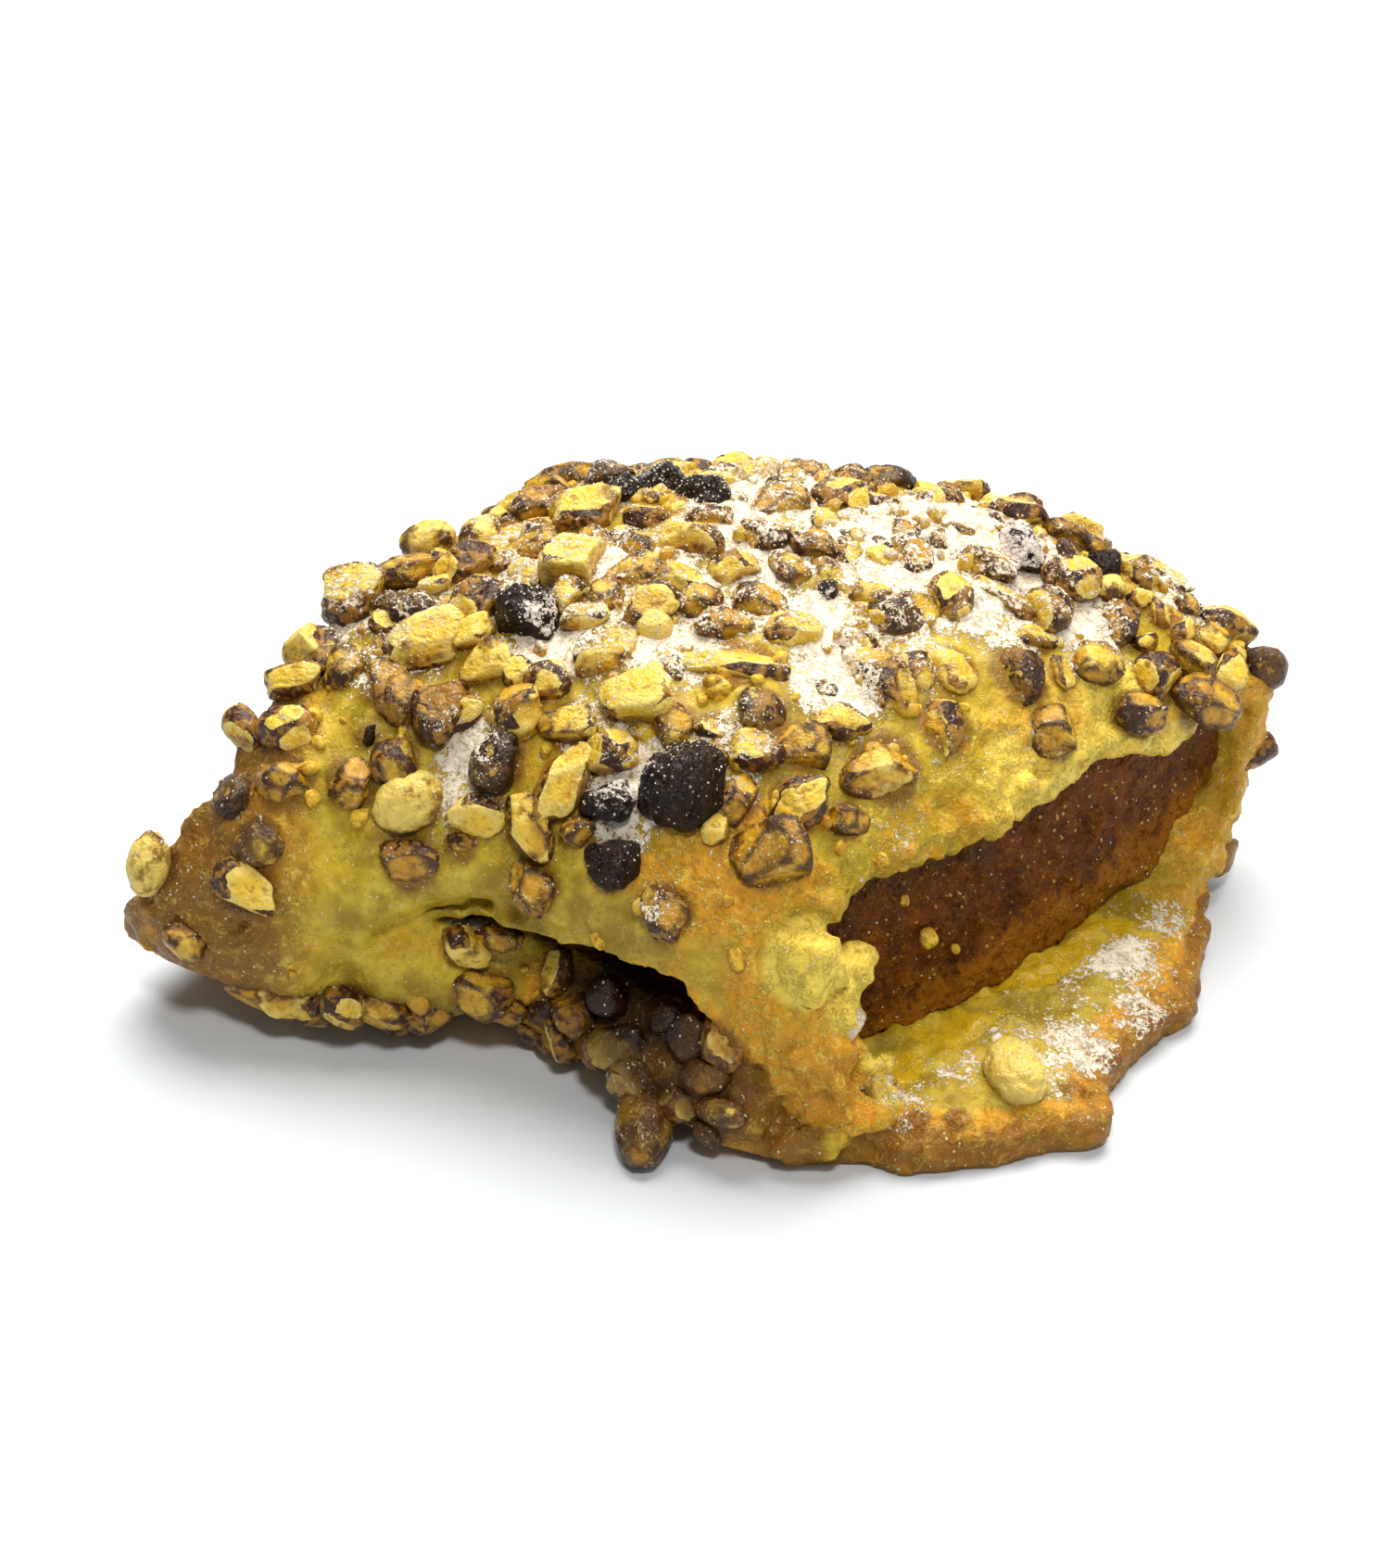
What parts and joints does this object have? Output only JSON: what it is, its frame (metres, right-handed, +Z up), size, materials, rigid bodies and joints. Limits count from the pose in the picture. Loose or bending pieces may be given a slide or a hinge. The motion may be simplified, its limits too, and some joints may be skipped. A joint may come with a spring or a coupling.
{
  "type": "orange-filled cookie",
  "caption": "Folded shortcrust cookie crusted with chopped nuts and chocolate chips, open at both ends over a dark orange filling.",
  "frame": {"origin": "centre of the cookie's footprint, on the surface it lies on", "axes": "+X along the cookie's longest extent, from the closed tip to the opening; +Y away from the viewer of the open side; +Z up"},
  "size_m": [0.0872, 0.0622, 0.0329],
  "materials": {
    "crust": "baked golden shortcrust, matt and crumbly, with chopped nuts, chocolate chips and icing sugar",
    "filling": "dark brown-orange sticky filling, half gloss"
  },
  "bodies": {
    "root": {"crust": "crust", "filling": "filling"}
  },
  "joints": []
}
